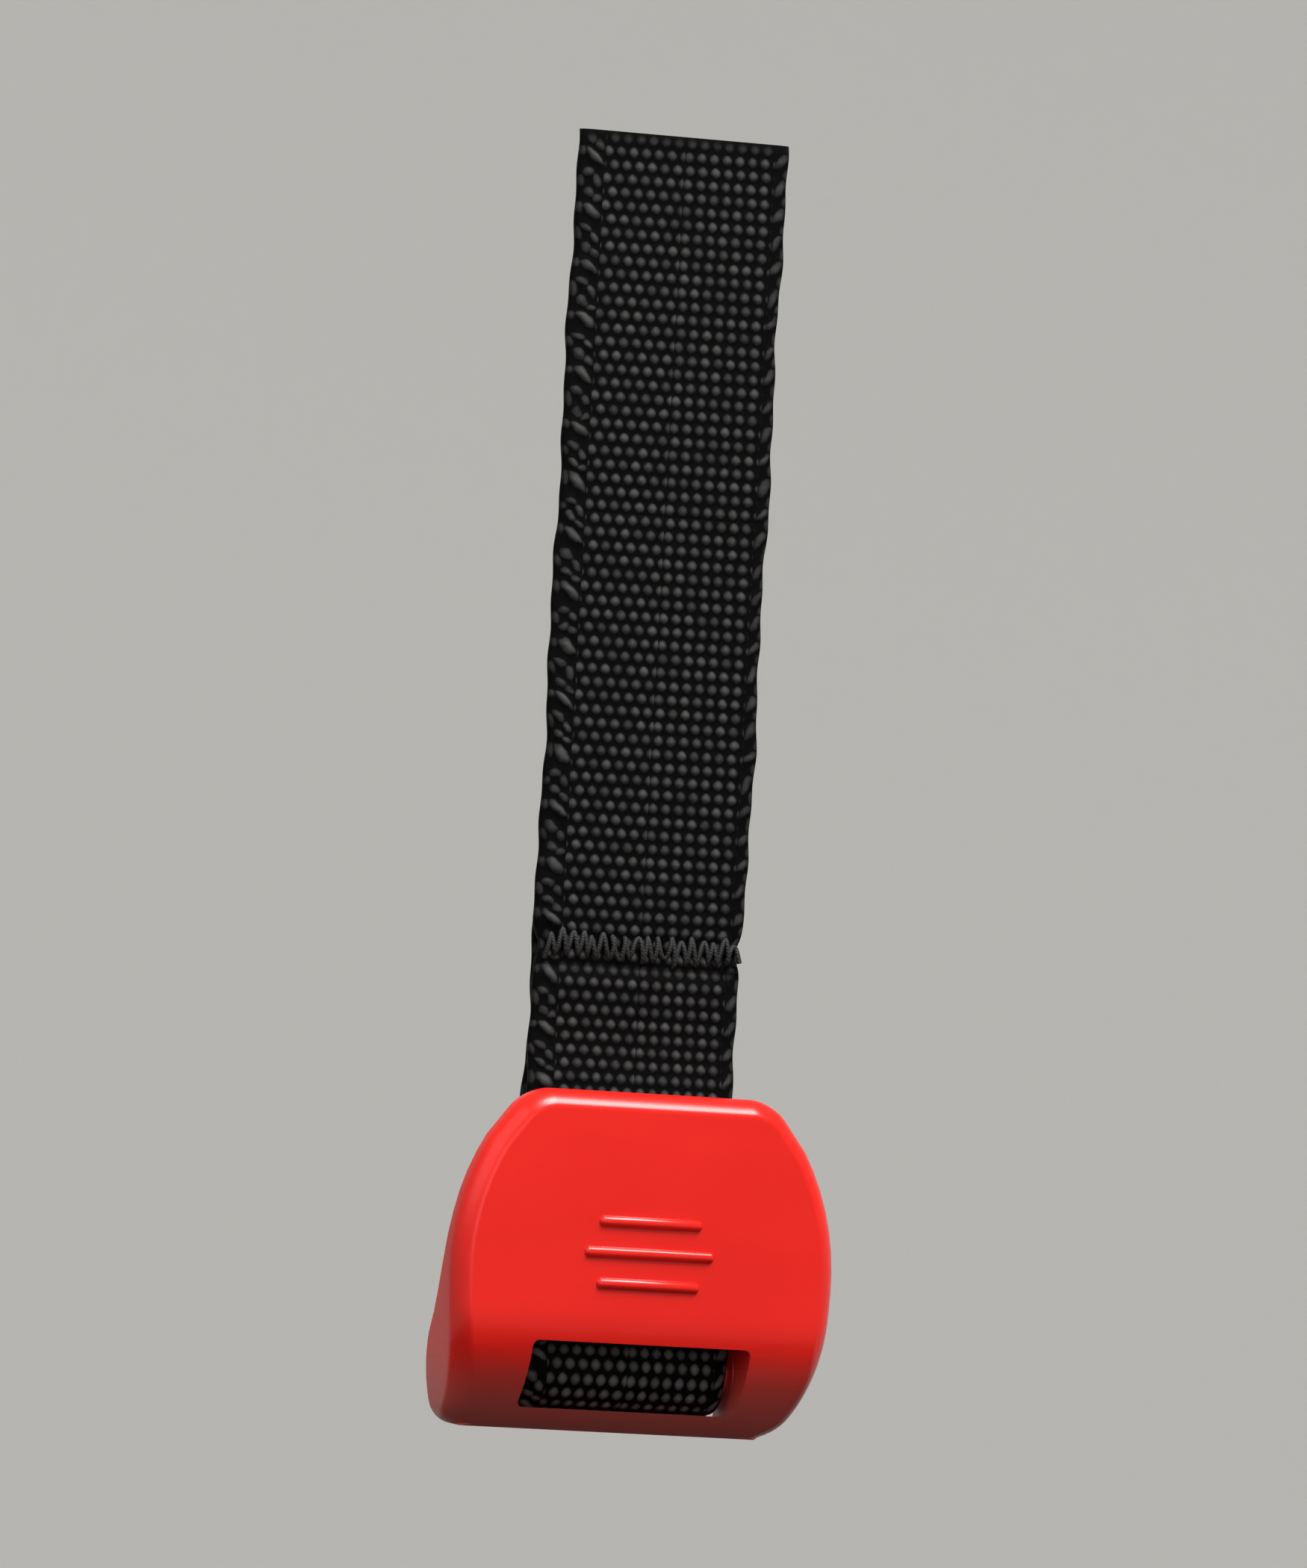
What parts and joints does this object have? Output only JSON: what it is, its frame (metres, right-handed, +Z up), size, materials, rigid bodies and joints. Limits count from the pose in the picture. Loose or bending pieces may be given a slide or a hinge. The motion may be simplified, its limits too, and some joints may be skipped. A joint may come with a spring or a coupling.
{
  "type": "hang clip on webbing strap",
  "caption": "Moulded hang clip with a springless hook mouth, pivoting on a flat webbing strap whose lower end loops round its bar and whose upper end is sewn down.",
  "frame": {"origin": "on the back face of the strap, at the middle of the end that is sewn down", "axes": "+Z up along the hanging strap, the face of the clip looks along -Y, +X across the strap"},
  "size_m": [0.029, 0.0093, 0.0925],
  "materials": {
    "moulding": "glossy moulded acetal",
    "webbing": "matt woven polyester webbing",
    "thread": "bonded sewing thread"
  },
  "bodies": {
    "sewn_end": {"sewn_end": "webbing"},
    "strap_upper": {"strap_upper": "webbing"},
    "strap_lower": {"strap_lower": "webbing", "webbing_loop": "webbing", "webbing_tail": "webbing", "tack_needle_thread": "thread", "tack_bobbin_thread": "thread"},
    "clip": {"clip_body": "moulding"}
  },
  "joints": [
    {"name": "strap_swing", "type": "hinge", "parent": "sewn_end", "child": "strap_upper", "pos_m": [0, -0.00125, -0.005], "axis": [-1, 0, 0], "range_deg": [0, 150]},
    {"name": "strap_bend", "type": "hinge", "parent": "strap_upper", "child": "strap_lower", "pos_m": [0, -0.0006, -0.04], "axis": [-1, 0, 0], "range_deg": [-90, 90]},
    {"name": "clip_pivot", "type": "hinge", "parent": "strap_lower", "child": "clip", "pos_m": [0, 0, -0.0829], "axis": [1, 0, 0], "range_deg": [0, 100]}
  ]
}
